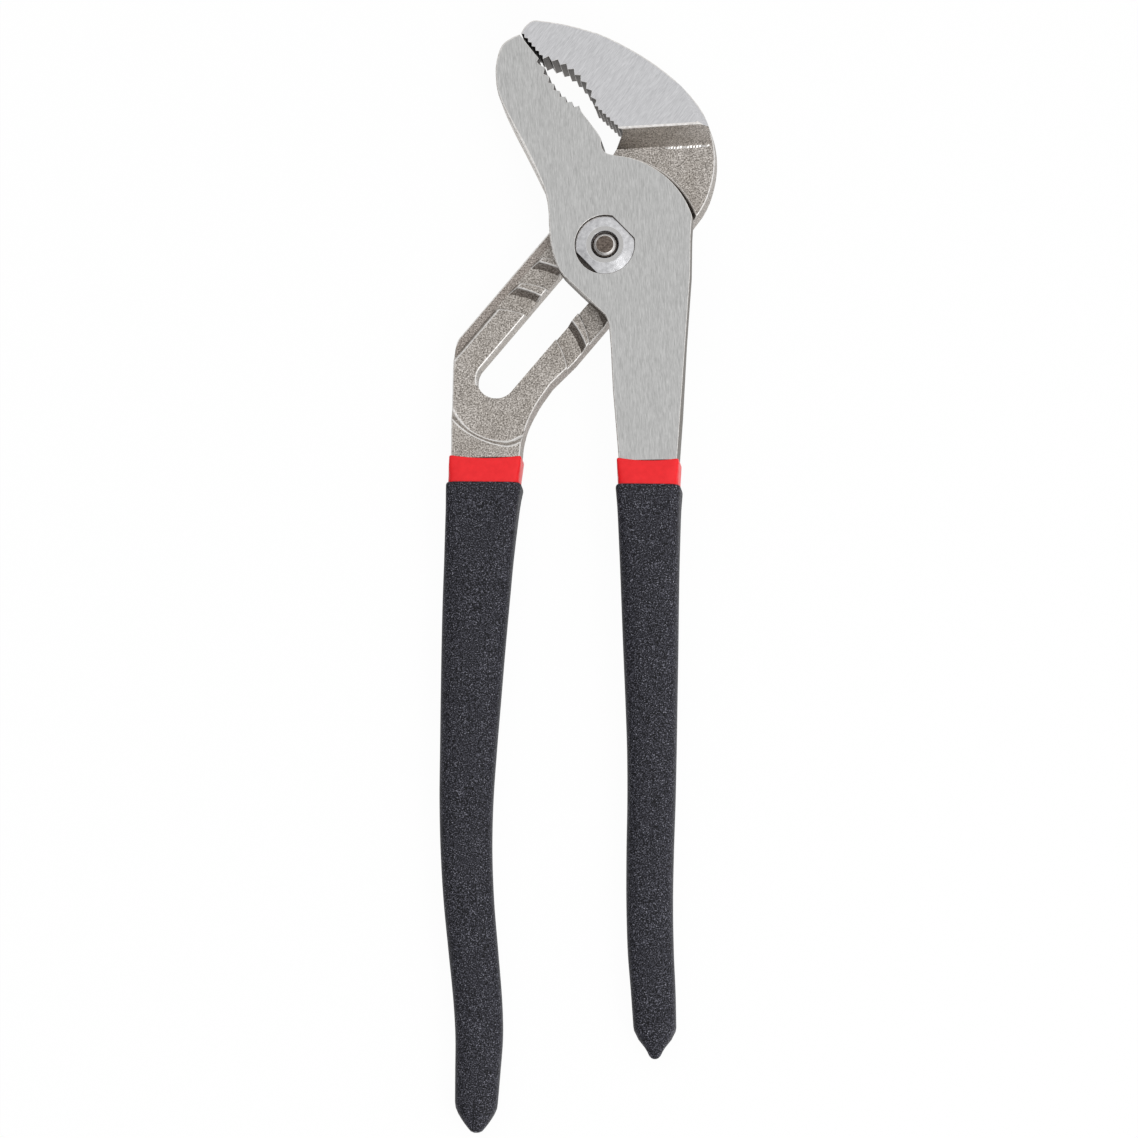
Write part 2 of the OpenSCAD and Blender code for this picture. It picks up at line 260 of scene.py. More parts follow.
def eased_copy(node, name, materials, finish_of, easing_of, crease=30, planes=()):
    """A copy of a CAD solid whose flat faces are whole again and whose outer edges are eased.
    finish_of gives a face's material, easing_of an edge's easing, and eased edges take the last material.
    Each of planes, a point, a direction and a distance along the tool, takes off a long straight edge among
    the faces that lie beyond that distance."""
    bm = bmesh.new()
    bm.from_mesh(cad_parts[node].data)
    bmesh.ops.remove_doubles(bm, verts=bm.verts, dist=0.002 * MM)
    bmesh.ops.dissolve_limit(bm, angle_limit=math.radians(1), verts=bm.verts, edges=bm.edges)
    for point, direction, beyond in planes:
        faces = [face for face in bm.faces if min(v.co.y for v in face.verts) > beyond * MM]
        rest = {e for face in faces for e in face.edges} | {v for face in faces for v in face.verts}
        cut = bmesh.ops.bisect_plane(
            bm, geom=faces + list(rest), plane_co=point, plane_no=direction, clear_outer=True
        )
        rim = [e for e in cut["geom_cut"] if isinstance(e, bmesh.types.BMEdge)]
        bmesh.ops.edgeloop_fill(bm, edges=rim)
    bmesh.ops.recalc_face_normals(bm, faces=bm.faces)
    bm.normal_update()
    share = bm.edges.layers.float.new("bevel_weight_edge")
    for face in bm.faces:
        face.smooth = True
        face.material_index = materials.index(finish_of(face))
    for edge in bm.edges:
        if edge.calc_face_angle(0) > math.radians(crease):
            is_outer = edge.calc_face_angle_signed(0) > 0
            edge[share] = easing_of(edge) / FULL_EASING if is_outer else 0
            edge.smooth = edge[share] > 0
    mesh = bpy.data.meshes.new(name)
    bm.to_mesh(mesh)
    bm.free()
    for material in materials:
        mesh.materials.append(material)
    piece = bpy.data.objects.new(name, mesh)
    scene.collection.objects.link(piece)
    easing = piece.modifiers.new("eased_edges", "BEVEL")
    easing.limit_method = "WEIGHT"
    easing.width = FULL_EASING * MM
    easing.segments = 3
    easing.use_clamp_overlap = False
    easing.material = len(materials) - 1
    bpy.context.view_layer.update()
    evaluated = piece.evaluated_get(bpy.context.evaluated_depsgraph_get())
    eased = bpy.data.meshes.new_from_object(evaluated)
    eased.name = name
    piece.modifiers.clear()
    piece.data = eased
    bpy.data.meshes.remove(mesh)
    bm = bmesh.new()
    bm.from_mesh(eased)
    for edge in bm.edges:
        is_between_flats = min(face.calc_area() for face in edge.link_faces) > FLAT_AREA * MM * MM
        is_filleted = edge.calc_face_angle_signed(0) < 0 and middle(edge).y < FILLETS_BELOW
        is_sharp = edge.calc_face_angle(0) > (SHARP_FLATS if is_between_flats else SHARP_CURVES)
        edge.smooth = is_filleted or not is_sharp
    bm.to_mesh(eased)
    bm.free()
    eased.attributes.remove(eased.attributes["custom_normal"])
    shading = piece.modifiers.new("flat_faces_stay_flat", "WEIGHTED_NORMAL")
    shading.keep_sharp = True
    return piece


jaw_face_steel = ground_steel("ground_steel_upper_jaw", math.radians(52), "#AEAEB0", "#D6D6D8")


def ease(v):
    """A smooth climb from 0 to 1 as v goes from 0 to 1, level outside that."""
    v = min(1, max(0, v))
    return v * v * (3 - 2 * v)


def by_slot(at):
    """A place's distances along the slot and to its left, from the bolt's axis."""
    along = at.x * math.cos(SLOT_ANGLE) + at.y * math.sin(SLOT_ANGLE)
    return along, at.y * math.cos(SLOT_ANGLE) - at.x * math.sin(SLOT_ANGLE)


def is_wall(face):
    """Whether a face stands nearly upright on the table."""
    return abs(face.normal.z) < 0.3


def is_upper_tooth(at):
    """Whether a place is among the upper jaw's teeth."""
    along, across = by_slot(at)
    return 24 < along < 33 and across > 14 and at.y < 58


def rear_finish(face):
    """The finish of one of the rear lever's faces, with painted light and shade on some, told by its place
    and the way it faces.
    """
    at = middle(face)
    along, across = by_slot(at)
    if is_wall(face) and is_upper_tooth(at):
        return hardened_and_shade_steel
    # the jaw step's chamfer: a painted highlight
    is_chamfer = face.normal.y < -0.3 and 0.8 < face.normal.z < 0.95 and at.z > FRONT_FACE - 0.6
    if is_chamfer:
        return burnished_highlight_steel
    # the neck step: a painted highlight at its foot, painted light above
    is_neck_step = face.normal.y > 0.3 and 0.4 < face.normal.z < 0.9 and -53 < at.y < -43
    if is_neck_step:
        return burnished_highlight_steel if at.z < NECK_TOP - 1 else painted_light_steel
    # the slot's walls and the jaw step: painted light in lighter steel
    is_slot = is_wall(face) and -SLOT_LONG < along < 0 and abs(across) < SLOT_HALF + 0.3
    is_jaw_step = face.normal.y < -0.8 and 0.3 < face.normal.z < 0.6 and at.y > 26
    if is_slot or is_jaw_step:
        return painted_light_steel
    # the ledge, the grooves' backs and the arm's side: painted shade in darker steel
    is_ledge = at.z < LEDGE_FACE + 0.03 and across > 12 and face.normal.z > 0.9
    is_groove_back = at.z < ARM_FACE and face.normal.y < -0.2 and 0.6 < face.normal.z < 0.8 and along < 26
    is_arm_side = is_wall(face) and across < -9 and -60 < along < 20
    if is_ledge or is_groove_back or is_arm_side:
        return painted_shade_steel
    is_heel = 0.8 < face.normal.z < 0.95 and along > 38
    is_jaw_face = face.normal.z > 0.99 and at.z > FRONT_FACE - 0.1
    return jaw_face_steel if is_heel or is_jaw_face else blasted_steel


# the shortest edge that is eased
SHORTEST_EASED = 0.25
# places, with a distance round each, where a face is too narrow for eased edges: on both levels, on the
# jaw's level alone, and below it
NARROW = [(-22.7, -50.3, 1.2), (-40.6, -27.5, 2.5)]
NARROW_ON_JAW = [(20.4, 42.9, 1.2), (27.4, 32, 2.2)]
NARROW_BELOW_JAW = [(1.4, 25.3, 2.5)]


def rear_easing(edge):
    """How far one of the rear lever's outer edges is eased: most along the slot's upper side."""
    at = middle(edge)
    along, across = by_slot(at)
    from_slot = math.hypot(max(0, along, -SLOT_LONG - along), across)
    narrow = NARROW + (NARROW_ON_JAW if at.z > 9 else NARROW_BELOW_JAW)
    is_narrow = any(math.hypot(at.x - x, at.y - y) < near for x, y, near in narrow)
    is_short = edge.calc_length() < SHORTEST_EASED * MM
    is_under_sleeve = at.y < -56.4
    is_heel = along > 38 and across < 12 and at.z > FRONT_FACE - 0.1
    is_ledge_foot = 5.9 < at.z < 6.4 and 5 < across < 14
    if is_narrow or is_short or is_under_sleeve or is_heel or is_ledge_foot:
        return 0.0
    if from_slot < SLOT_HALF + 0.3:
        return 0.5 if at.z > 5 and across > 2.5 and along < 0 else 0.0
    if is_upper_tooth(at):
        return 0.1
    is_land = -12.5 < across < 12 and -32 < along < 24 and at.z < ARM_FACE + 0.1
    return 0.25 if is_land else 0.3


# the chamfer on the step below the upper jaw: a point on it, the way it faces, and what lies beyond it
JAW_CHAMFER = (Vector((15, 32.05, FRONT_FACE - 0.27)) * MM, Vector((0.02, -0.47, 0.88)), 27)
rear = eased_copy(
    "rear_lever",
    "rear_lever_forging",
    [blasted_steel, jaw_face_steel, hardened_and_shade_steel, painted_shade_steel, painted_light_steel, burnished_highlight_steel],
    rear_finish,
    rear_easing,
    planes=[JAW_CHAMFER],
)
# the step up to the neck: worn steeper than the solid's, and it climbs higher on its left, where its crest
# bows and its foot tilts
STEP_LOW, STEP_HIGH = -54.2, -42.9
STEP_RIGHT = -23
LEFT_SIDE, LEFT_SIDE_LOW = -40.5, -49
CREST_RISE, CREST_BOW = 1.5, 0.00826
FOOT_LEVEL_AT, FOOT_TILT = -34, 0.07
FOOT_RISE, FOOT_RISE_FROM, FOOT_RISE_OVER = 1.1, -36.5, 5
STEP_FADES_FROM, STEP_FADES_OVER = -23.5, 2.5
for vertex in rear.data.vertices:
    at = vertex.co / MM
    low = LEFT_SIDE_LOW if at.x < LEFT_SIDE else STEP_LOW
    if at.x < STEP_RIGHT and at.z > ARM_FACE - 0.4 and low < at.y < STEP_HIGH:
        risen = min(1, max(0, (at.z - ARM_FACE) / (NECK_TOP - ARM_FACE)))
        crest = CREST_RISE - CREST_BOW * (at.x - ARM_LEFT) ** 2
        foot = -FOOT_TILT * (at.x - FOOT_LEVEL_AT)
        foot += FOOT_RISE * ease((FOOT_RISE_FROM - at.x) / FOOT_RISE_OVER)
        faded = ease((STEP_FADES_FROM - at.x) / STEP_FADES_OVER)
        vertex.co.y += (foot + (crest - foot) * risen) * faded * MM
# a ridge of flash that the die leaves along the right half of the jaw step's foot, a little ragged
RIDGE_X, RIDGE_Y = 15.6, 27.6
RIDGE_LONG, RIDGE_HIGH = 12, 0.32
RIDGE_CUTS = 30
bm = bmesh.new()
ridge = []
for i in range(RIDGE_CUTS + 1):
    x = RIDGE_X + RIDGE_LONG * i / RIDGE_CUTS
    y = RIDGE_Y + 0.044 * (x - RIDGE_X) + 0.1 * math.sin(2.9 * i) + 0.06 * math.sin(5.3 * i)
    foot = ARM_FACE - 0.1
    crest = ARM_FACE + RIDGE_HIGH * min(1, i / 4, (RIDGE_CUTS - i) / 2)
    outline = ((-0.7, foot), (0, crest), (0.35, foot))
    ridge.append([bm.verts.new(Vector((x, y + up, high)) * MM) for up, high in outline])
for near, far in zip(ridge, ridge[1:]):
    for k in range(3):
        bm.faces.new((near[k], near[(k + 1) % 3], far[(k + 1) % 3], far[k]))
bm.faces.new(ridge[0])
bm.faces.new(ridge[-1])
bmesh.ops.recalc_face_normals(bm, faces=bm.faces)
mesh = bpy.data.meshes.new("flash_ridge")
bm.to_mesh(mesh)
bm.free()
# the ridge is burnished steel with a painted highlight along it
mesh.materials.append(burnished_highlight_steel)
flash = bpy.data.objects.new("flash_ridge", mesh)
scene.collection.objects.link(flash)
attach(flash, "rear")
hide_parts("rear_lever")
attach(rear, "rear")

# Front lever: the second forging, whose plate crosses over the slotted arm and carries the lower jaw.
# Its whole front is ground flat along the tool, so it is brighter than the blasted lever behind it.
# Its sides aren't ground. They are painted light, with painted shade that is darkest towards the handle and
# fades out towards the jaw.
wall_light_and_shade_steel = blasted("painted_light_and_shade_wall_steel", "#86817B", "#C6C0BA", "#F0EBE6", shade_fades=(2, 20))
plate_steel = ground_steel("ground_steel_plate", math.radians(93), "#9C9C9B", "#CCCCCB")
RECESS_RADIUS = 8.1


def is_lower_tooth(at):
    """Whether a place is among the lower jaw's teeth."""
    along, across = by_slot(at)
    return along > 22.5 and 28 < across < 54.6


def front_finish(face):
    """The finish of one of the front lever's faces, with painted light and shade on some, told by its place
    and the way it faces.
    """
    at = middle(face)
    is_recess = math.hypot(at.x, at.y) < RECESS_RADIUS + 0.2 and at.z < FRONT_FACE - 0.5
    is_throat = math.hypot(at.x, at.y - 26) < 4.5
    # the recess's floor and the throat's walls: painted shade in the teeth's dark steel
    if is_recess:
        return blasted_steel if is_wall(face) else hardened_and_shade_steel
    if is_wall(face):
        return hardened_and_shade_steel if is_throat or is_lower_tooth(at) else wall_light_and_shade_steel
    is_neck_end = at.y < -57 and at.z > FRONT_FACE - 0.6 and face.normal.z > 0.9
    is_front = face.normal.z > 0.99 and at.z > FRONT_FACE - 0.1
    return plate_steel if is_neck_end or is_front else blasted_steel


def front_easing(edge):
    """How far one of the front lever's outer edges is eased: most along the plate's left side."""
    at = middle(edge)
    from_bolt = math.hypot(at.x, at.y)
    is_short = edge.calc_length() < SHORTEST_EASED * MM
    is_under_sleeve = at.y < -58
    is_bore = from_bolt < 6
    is_throat_back = at.z < 8 and math.hypot(at.x, at.y - 25) < 3
    if is_short or is_under_sleeve or is_bore or is_throat_back:
        return 0.0
    if from_bolt < RECESS_RADIUS + 0.5 or is_lower_tooth(at):
        return 0.1
    is_left = at.x < -13 or (at.x < 6 and at.y < 0)
    return 0.4 if is_left and at.z > FRONT_FACE - 0.1 else 0.15


front = eased_copy(
    "front_lever",
    "front_lever_forging",
    [blasted_steel, plate_steel, hardened_and_shade_steel, wall_light_and_shade_steel, burnished_highlight_steel],
    front_finish,
    front_easing,
)
# the die's draft on the jaw's back: the plate's edge is drawn in by up to 0.45 mm and falls away as a strip
DRAFT = 0.45
DRAFT_MIDDLE, DRAFT_HALF = 27, 18
INWARD = Vector((0.894, 0.447, 0))
for vertex in front.data.vertices:
    at = vertex.co / MM
    if abs(at.z - FRONT_FACE) < 0.001 and at.x < -13 and by_slot(at)[0] < 22:
        inward = DRAFT * ease(1 - abs(at.y - DRAFT_MIDDLE) / DRAFT_HALF)
        vertex.co += INWARD * inward * MM
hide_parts("front_lever")
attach(front, "front")

# Pivot bolt: turned steel, left dull and a little brown from heat treatment. Its flat head slides in the
# track behind the rear lever, and its threaded end shows in the middle of the nut, with a bright chamfer.
# Turned steel: soot of the heat treatment lies in spots about 0.5 mm across, so it hardly shines.
bolt_steel, tree, where = new_material("dull_turned_steel")
soot = add(
    tree,
    "ShaderNodeTexNoise",
    {"Vector": (where, "Object"), "Scale": 1 / (0.5 * MM), "Detail": 3.0, "Roughness": 0.7},
)
brown = add(tree, "ShaderNodeValToRGB", {"Fac": (soot, "Fac")})
stops(brown, (0.3, "#3E3631"), (0.7, "#857A72"))
marks = add(tree, "ShaderNodeBump", {"Height": (soot, "Fac"), "Strength": 0.3, "Distance": 0.05 * MM})
metal = add(
    tree,
    "ShaderNodeBsdfPrincipled",
    {"Base Color": (brown, "Color"), "Metallic": 1.0, "Roughness": 0.45, "Normal": (marks, "Normal")},
)
add(tree, "ShaderNodeOutputMaterial", {"Surface": (metal, "BSDF")})


def bolt_finish(face):
    """Burnished with a painted highlight on the chamfer of the bolt's end, dull elsewhere."""
    is_chamfer = 0.3 < face.normal.z < 0.95 and middle(face).z > FRONT_FACE - 1
    return burnished_highlight_steel if is_chamfer else bolt_steel


def bolt_easing(edge):
    """The bolt's end and its head are eased, and its shank isn't."""
    return 0.06 if middle(edge).z > FRONT_FACE - 1 or middle(edge).z < 0.6 else 0.0


bolt = eased_copy(
    "pivot_bolt",
    "pivot_bolt_turned",
    [bolt_steel, burnished_highlight_steel],
    bolt_finish,
    bolt_easing,
)
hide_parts("pivot_bolt")
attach(bolt, "pivot")

# Pivot nut: a round nut with two flats, turned from steel and zinc plated. It is screwed on the bolt, and
# sunk in the plate's recess so that a flat keeps it from turning.
# Zinc plating: bright, with slightly uneven clouds about 1.2 mm across.
zinc_plate, tree, where = new_material("bright_zinc_plating")
cloud = add(
    tree,
    "ShaderNodeTexNoise",
    {"Vector": (where, "Object"), "Scale": 1 / (1.2 * MM), "Detail": 3.0, "Roughness": 0.6},
)
sheen = add(tree, "ShaderNodeValToRGB", {"Fac": (cloud, "Fac")})
stops(sheen, (0.3, "#B2B2B4"), (0.7, "#D6D6D8"))
uneven = add(tree, "ShaderNodeBump", {"Height": (cloud, "Fac"), "Strength": 0.3, "Distance": 0.08 * MM})
metal = add(
    tree,
    "ShaderNodeBsdfPrincipled",
    {"Base Color": (sheen, "Color"), "Metallic": 1.0, "Roughness": 0.27, "Normal": (uneven, "Normal")},
)
add(tree, "ShaderNodeOutputMaterial", {"Surface": (metal, "BSDF")})

# Flat ring zinc: the nut's flat ring is darker and duller than the cone.
# The lathe's feed shows as fine rings 0.3 mm apart about the bolt. At a scale of 1 the wave texture's rings
# are WAVE_SPACING apart.
WAVE_SPACING = math.pi / 10
zinc_ring, tree, where = new_material("flat_ring_zinc_plating")
feed = add(
    tree,
    "ShaderNodeTexWave",
    {
        "Vector": (where, "Object"),
        "Scale": WAVE_SPACING / (0.3 * MM),
        "Distortion": 1.2,
        "Detail": 2.0,
        "Detail Scale": 0.8,
    },
    wave_type="RINGS",
    rings_direction="Z",
)
ring_tone = add(tree, "ShaderNodeValToRGB", {"Fac": (feed, "Fac")})
stops(ring_tone, (0.1, "#A6A5A4"), (0.9, "#C4C3C2"))
grooved = add(tree, "ShaderNodeBump", {"Height": (feed, "Fac"), "Strength": 0.2, "Distance": 0.02 * MM})
metal = add(
    tree,
    "ShaderNodeBsdfPrincipled",
    {"Base Color": (ring_tone, "Color"), "Metallic": 1.0, "Roughness": 0.4, "Normal": (grooved, "Normal")},
)
add(tree, "ShaderNodeOutputMaterial", {"Surface": (metal, "BSDF")})


def nut_finish(face):
    """Darker zinc on the flat ring, the brighter plating elsewhere."""
    return zinc_ring if face.normal.z > 0.995 else zinc_plate


def nut_easing(edge):
    """Every outer edge of the nut is eased alike."""
    return 0.12


nut = eased_copy(
    "pivot_nut",
    "pivot_nut_plated",
    [zinc_plate, zinc_ring, zinc_plate],
    nut_finish,
    nut_easing,
    crease=11,
)
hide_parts("pivot_nut")
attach(nut, "front")

# Inner sleeves: each tang is dipped once in red vinyl, which shows as a band above the outer grip.
# The vinyl sets with a rounded upper edge that climbs a little at the corners of the steel.

# The handles are drawn in units of which the whole tool is 1129.1 long, and DRAWN_TILT and DRAWN_SLANT lay
# the drawing flat, as in the solids.
LENGTH = 300
UNIT = LENGTH / 1129.1
DRAWN_TILT, DRAWN_SLANT = 1.0225, 0.018
INNER, OUTER, FIT = 0.45, 0.42, 0.03
COAT = INNER + OUTER + 2 * FIT
# half thicknesses where the tangs leave the necks, then how they thin and how the front one sinks to the back
REAR_TANG, FRONT_TANG = 4.6, 4.9
NECK_END = -206
THINNED, THINNED_OVER = 0.9, 640
SUNK_OVER = 420
# a section's power: rounded along the handle, squarer near the neck, and square at the coat's own edge
ROUNDED, SQUARER, SQUARE = 3, 4, 12
SQUARER_FROM, SQUARER_OVER = -330, 110
EDGE_DEEP, EDGE_OVER = 12, 8
SIDES = 72
CROWDED = 0.17
CLIMB_LEVEL = 0.6
# drawn height, middle and half width of each tang
REAR_LINE = [
    (-212, -121.9, 34.5), (-235.3, -123.7, 34.1), (-250, -124.9, 33.3), (-300, -128.7, 31.5),
    (-350, -132, 30.1), (-400, -134.9, 28.4), (-450, -137.4, 26.7), (-500, -139.8, 24.9),
    (-550, -141.8, 23.4), (-600, -141.8, 22.3), (-650, -139.4, 21.7), (-700, -134.9, 21.3),
    (-750, -130.4, 20.8), (-785, -129, 20.2), (-820, -130.4, 19), (-850, -131.8, 17.8),
]
FRONT_LINE = [
    (-218, 43, 29.4), (-240.8, 43, 28.8), (-260, 43.1, 27.9), (-300, 43.3, 26.7), (-350, 43.6, 25.3),
    (-400, 44, 24), (-450, 44.4, 22.5), (-500, 44.6, 21.2), (-550, 44, 20.5), (-600, 42.6, 20.1),
    (-650, 42, 19.7), (-700, 43, 19.4), (-740, 45.4, 18.7), (-775, 47, 17.8),
]


def tang_at(line, y):
    """The middle and half width of a tang at y, on a smooth curve through its stations."""
    i = max(k for k in range(len(line) - 1) if line[k][0] >= y or k == 0)
    a, b = line[i], line[i + 1]
    before, after = line[max(i - 1, 0)], line[min(i + 2, len(line) - 1)]
    step = b[0] - a[0]
    t = (y - a[0]) / step
    values = []
    for k in (1, 2):
        slope_a = (b[k] - before[k]) / (b[0] - before[0]) * step
        slope_b = (after[k] - a[k]) / (after[0] - a[0]) * step
        values.append(
            a[k] * (1 + 2 * t) * (1 - t) ** 2
            + slope_a * t * (1 - t) ** 2
            + b[k] * t * t * (3 - 2 * t)
            + slope_b * t * t * (t - 1)
        )
    return values


def section(line, y, grow, squeeze=1.0, advance=0.0, climb=0.0, slant=0.0):
    """One ring round a handle at drawn height y, grown by so many millimetres, squeezed towards its middle,
    moved on along the handle, with its corners raised by climb and its right side lowered by slant. Its
    points crowd towards its corners."""
    is_rear = line is REAR_LINE
    x, half = tang_at(line, y)
    thin = (REAR_TANG if is_rear else FRONT_TANG) - THINNED * min(1, max(0, (NECK_END - y) / THINNED_OVER))
    low = thin + COAT
    high = FRONT_FACE - FRONT_TANG
    height = low if is_rear else high + (low - high) * ease((NECK_END - y) / SUNK_OVER)
    near_neck = ease((y - SQUARER_FROM) / SQUARER_OVER)
    near_edge = ease((y - line[0][0] + EDGE_DEEP) / EDGE_OVER)
    power = ROUNDED + SQUARER * near_neck + SQUARE * near_edge
    at_x = UNIT * x
    at_y = UNIT * (DRAWN_TILT * y - DRAWN_SLANT * x) - advance
    ring = []
    for i in range(SIDES):
        angle = 2 * math.pi * (i + 0.5) / SIDES
        angle += CROWDED * math.sin(4 * angle)
        c, s = math.cos(angle), math.sin(angle)
        reach = (abs(c) ** power + abs(s) ** power) ** (-1 / power)
        across, deep = c * reach, s * reach
        place = (
            at_x + (half * UNIT + grow) * squeeze * across,
            at_y + climb * (across * across - CLIMB_LEVEL) - slant * across,
            height + (thin + grow) * squeeze * deep,
        )
        ring.append(Vector(place) * MM)
    return ring


def sock(name, outside, inside, material, body, node):
    """A closed skin between two stacks of rings that run from the open end to the tip. It takes the place of
    a node of the solids and rides its body."""
    bm = bmesh.new()
    rings = [[bm.verts.new(p) for p in ring] for ring in list(reversed(inside)) + outside]
    for near, far in zip(rings, rings[1:]):
        for i in range(SIDES):
            j = (i + 1) % SIDES
            bm.faces.new((near[i], near[j], far[j], far[i]))
    for end in (rings[0], rings[-1]):
        tip = bm.verts.new(sum((v.co for v in end), Vector()) / SIDES)
        for i in range(SIDES):
            bm.faces.new((end[i], end[(i + 1) % SIDES], tip))
    bmesh.ops.recalc_face_normals(bm, faces=bm.faces)
    for face in bm.faces:
        face.smooth = True
    mesh = bpy.data.meshes.new(name)
    bm.to_mesh(mesh)
    bm.free()
    mesh.materials.append(material)
    piece = bpy.data.objects.new(name, mesh)
    scene.collection.objects.link(piece)
    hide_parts(node)
    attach(piece, body)


def heights(start, end, step):
    """Drawn heights after start and up to end, about a step apart."""
    count = max(1, round(abs(end - start) / step))
    return [start + (end - start) * i / count for i in range(1, count + 1)]


# Plasticised vinyl, dipped and oven-cured: an even satin red with a faint ripple where the dip ran.
red_vinyl, tree, where = new_material("red_dipped_vinyl")
ripple = add(
    tree,
    "ShaderNodeTexNoise",
    {"Vector": (where, "Object"), "Scale": 1 / (1.5 * MM), "Detail": 3.0, "Roughness": 0.5},
)
red = add(tree, "ShaderNodeValToRGB", {"Fac": (ripple, "Fac")})
stops(red, (0.3, "#E4101A"), (0.7, "#EE1A22"))
wave = add(tree, "ShaderNodeBump", {"Height": (ripple, "Fac"), "Strength": 0.15, "Distance": 0.08 * MM})
vinyl = add(
    tree,
    "ShaderNodeBsdfPrincipled",
    {
        "Base Color": (red, "Color"),
        "Roughness": 0.4,
        "IOR": 1.5,
        "Specular IOR Level": 0.35,
        "Normal": (wave, "Normal"),
    },
)
add(tree, "ShaderNodeOutputMaterial", {"Surface": (vinyl, "BSDF")})

# the rounded tip under both coats, as shares of its length and of the section
DOME = 17 * UNIT
ROUND_END = [(math.sin(math.radians(a)), math.cos(math.radians(a))) for a in range(12, 88, 12)]
# the dip's edge: lower on the right, with the red one climbing at the corners, both levelling out below
DIP_SLANT = 0.25
DIP_CLIMB = 0.7
LEVEL_OVER = 24
ROW = 8
# in drawn units: how far the red edge stands above the solid's, its lip's length, and where it levels out
RED_RAISED = 2.7
RED_LIP_LONG, RED_LEVEL_FROM = 2.5, 3.5
skin = FIT + INNER
red_lip = [(0.0, FIT + 0.02), (0.03, FIT + 0.2), (0.12, FIT + 0.34), (0.3, skin - 0.02), (0.6, skin)]
for line, body in ((REAR_LINE, "rear"), (FRONT_LINE, "front")):
    start, end = line[0][0] + RED_RAISED, line[-1][0]
    outside = [section(line, start, grow, 1, down, DIP_CLIMB, DIP_SLANT) for down, grow in red_lip]
    inside = [section(line, start, FIT, 1, 0.0, DIP_CLIMB, DIP_SLANT)]
    for y in heights(start - RED_LIP_LONG, end, ROW):
        level = 1 - ease((start - RED_LEVEL_FROM - y) / LEVEL_OVER)
        outside.append(section(line, y, skin, 1, 0, DIP_CLIMB * level, DIP_SLANT * level))
        inside.append(section(line, y, FIT, 1, 0, DIP_CLIMB * level, DIP_SLANT * level))
    outside += [section(line, end, skin, w, s * (DOME + skin)) for s, w in ROUND_END]
    inside += [section(line, end, FIT, w, s * (DOME + FIT)) for s, w in ROUND_END]
    sock(body + "_red_sleeve", outside, inside, red_vinyl, body, body + "_inner_sleeve")

# Outer grips: the second dip, in black vinyl with a fine non-slip grain, stops short of the first one.
# Its upper edge sets as a soft roll, and the last drop sets as a nose on the tip.
# Grained vinyl: grit of about 0.3 mm in the dip stands up as dull pale specks on near black.
black_vinyl, tree, where = new_material("black_grained_vinyl")
grain = add(
    tree,
    "ShaderNodeTexNoise",
    {"Vector": (where, "Object"), "Scale": 1 / (0.3 * MM), "Detail": 2.0, "Roughness": 0.6},
)
charcoal = add(tree, "ShaderNodeValToRGB", {"Fac": (grain, "Fac")})
stops(charcoal, (0.38, "#030304"), (0.5, "#1C1C22"), (0.62, "#4E4E58"), (0.74, "#A2A2AC"))
knobbly = add(tree, "ShaderNodeBump", {"Height": (grain, "Fac"), "Strength": 0.5, "Distance": 0.12 * MM})
vinyl = add(
    tree,
    "ShaderNodeBsdfPrincipled",
    {
        "Base Color": (charcoal, "Color"),
        "Roughness": 0.55,
        "IOR": 1.5,
        "Specular IOR Level": 0.18,
        "Normal": (knobbly, "Normal"),
    },
)
add(tree, "ShaderNodeOutputMaterial", {"Surface": (vinyl, "BSDF")})

# the noses: lengths in drawn units, and rings as shares of that length and of the section
REAR_NOSE_LONG, FRONT_NOSE_LONG = 27, 29
REAR_NOSE = [
    (0.18, 0.965), (0.36, 0.86), (0.53, 0.72), (0.7, 0.56), (0.84, 0.41), (0.95, 0.28), (1.0, 0.14),
]
FRONT_NOSE = [
    (0.12, 0.97), (0.24, 0.88), (0.38, 0.78), (0.5, 0.64), (0.63, 0.49), (0.76, 0.37), (0.9, 0.27),
    (0.97, 0.17), (1.0, 0.08),
]
# the roll at the black edge, its lip's length, and where it levels out
ROLL = 0.12
BLACK_LIP_LONG, BLACK_LEVEL_FROM = 4.5, 4
under = FIT * 2 + INNER
black_lip = [
    (-0.1, under), (-0.1, under + 0.18), (0.0, under + 0.34), (0.2, COAT + 0.02), (0.5, COAT + 0.1),
    (0.9, COAT + ROLL),
]
for line, body, nose, nose_long in (
    (REAR_LINE, "rear", REAR_NOSE, REAR_NOSE_LONG),
    (FRONT_LINE, "front", FRONT_NOSE, FRONT_NOSE_LONG),
):
    start, end = line[1][0], line[-1][0]
    outside = [section(line, start, grow, 1, down, 0, DIP_SLANT) for down, grow in black_lip]
    inside = [section(line, start, under, 1, 0, 0, DIP_SLANT)]
    for y in heights(start - BLACK_LIP_LONG, end, ROW):
        level = 1 - ease((start - BLACK_LEVEL_FROM - y) / LEVEL_OVER)
        outside.append(section(line, y, COAT + ROLL * level, 1, 0, 0, DIP_SLANT * level))
        inside.append(section(line, y, under, 1, 0, 0, DIP_SLANT * level))
    outside += [section(line, end, COAT, w, s * (nose_long * UNIT + COAT)) for s, w in nose]
    inside += [section(line, end, under, w, s * (DOME + under)) for s, w in ROUND_END]
    sock(body + "_black_grip", outside, inside, black_vinyl, body, body + "_outer_grip")

